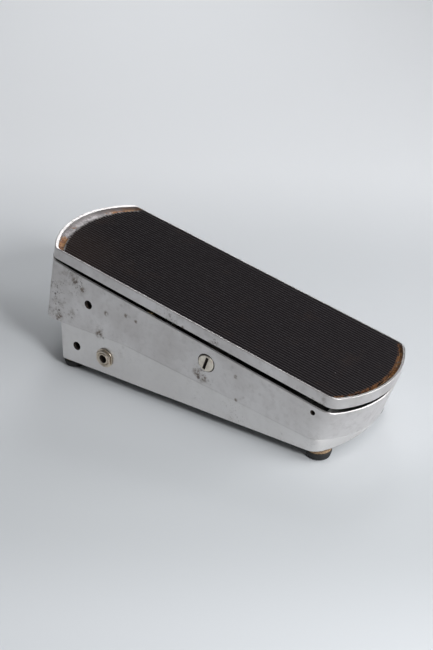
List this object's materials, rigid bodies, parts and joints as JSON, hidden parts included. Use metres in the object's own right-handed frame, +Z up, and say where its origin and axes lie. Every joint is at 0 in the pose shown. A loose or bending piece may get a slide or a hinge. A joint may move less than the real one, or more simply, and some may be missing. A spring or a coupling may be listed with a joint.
{
  "type": "foot volume pedal",
  "caption": "Foot-operated volume pedal: wedge-shaped cast aluminium body, hinged treadle with ribbed rubber mat, rack-driven potentiometer and phone jacks.",
  "frame": {"origin": "on the floor, under the middle of the pedal's bounding box", "axes": "+X along the pedal towards the heel, +Z up, near side (the one pictured) at -Y"},
  "size_m": [0.2894, 0.1006, 0.1051],
  "materials": {
    "cast_aluminium": "worn polish, pitted",
    "mat_rubber": "matt, fine lengthwise ribs",
    "foot_rubber": "matt",
    "plated_steel": "dull zinc",
    "aged_nickel": "aged, yellowed",
    "brass": "plain",
    "tan_fibre": "matt pressed fibre",
    "bakelite": "satin",
    "nylon": "satin",
    "wire_insulation": "matt"
  },
  "bodies": {
    "root": {"body_casting": "cast_aluminium", "bottom_cover": "plated_steel", "bracket_screw_1": "plated_steel", "bracket_screw_2": "plated_steel", "clamp_nut_far": "plated_steel", "clamp_nut_near": "plated_steel", "clamp_washer_far": "plated_steel", "clamp_washer_near": "plated_steel", "foot_1": "foot_rubber", "foot_2": "foot_rubber", "foot_3": "foot_rubber", "foot_4": "foot_rubber", "foot_screw_1": "plated_steel", "foot_screw_2": "plated_steel", "foot_screw_3": "plated_steel", "foot_screw_4": "plated_steel", "foot_washer_1": "tan_fibre", "foot_washer_2": "tan_fibre", "foot_washer_3": "tan_fibre", "foot_washer_4": "tan_fibre", "friction_washer_far": "tan_fibre", "friction_washer_near": "tan_fibre", "hinge_pin": "plated_steel", "jack_contact_far": "brass", "jack_contact_near": "brass", "jack_far": "aged_nickel", "jack_insulator_far": "bakelite", "jack_insulator_near": "bakelite", "jack_near": "aged_nickel", "jack_nut_far": "aged_nickel", "jack_nut_near": "aged_nickel", "jack_washer_far": "aged_nickel", "jack_washer_near": "aged_nickel", "pot_bracket": "plated_steel", "pot_case": "plated_steel", "pot_nut": "brass", "pot_terminals": "brass", "pot_wafer": "bakelite", "roller_screw": "plated_steel", "tension_screw_far": "plated_steel", "tension_screw_near": "plated_steel", "wire_far": "wire_insulation", "wire_near": "wire_insulation"},
    "treadle": {"treadle": "cast_aluminium", "mat": "mat_rubber", "rack": "plated_steel", "quadrant_near": "plated_steel", "quadrant_far": "plated_steel", "quadrant_screw_near_1": "plated_steel", "quadrant_screw_near_2": "plated_steel", "quadrant_screw_far_1": "plated_steel", "quadrant_screw_far_2": "plated_steel", "rack_screw_near": "plated_steel", "rack_screw_far": "plated_steel"},
    "pinion": {"pinion": "brass", "pot_shaft": "plated_steel"},
    "guide_roller": {"guide_roller": "nylon"}
  },
  "joints": [
    {"name": "treadle_rock", "type": "hinge", "parent": "root", "child": "treadle", "pos_m": [0.1123, 0, 0.0408], "axis": [0, 1, 0], "range_deg": [0, 8.5]},
    {"name": "pinion_spin", "type": "hinge", "parent": "root", "child": "pinion", "pos_m": [-0.0617, 0, 0.0408], "axis": [0, 1, 0], "range_deg": [-250, 5]},
    {"name": "roller_spin", "type": "hinge", "parent": "root", "child": "guide_roller", "pos_m": [-0.0436, 0, 0.0408], "axis": [0, 1, 0], "range_deg": [-5, 355]}
  ],
  "couplings": [
    {"joint": "pinion_spin", "follows": "treadle_rock", "ratio": -28},
    {"joint": "roller_spin", "follows": "treadle_rock", "ratio": 40.05}
  ]
}
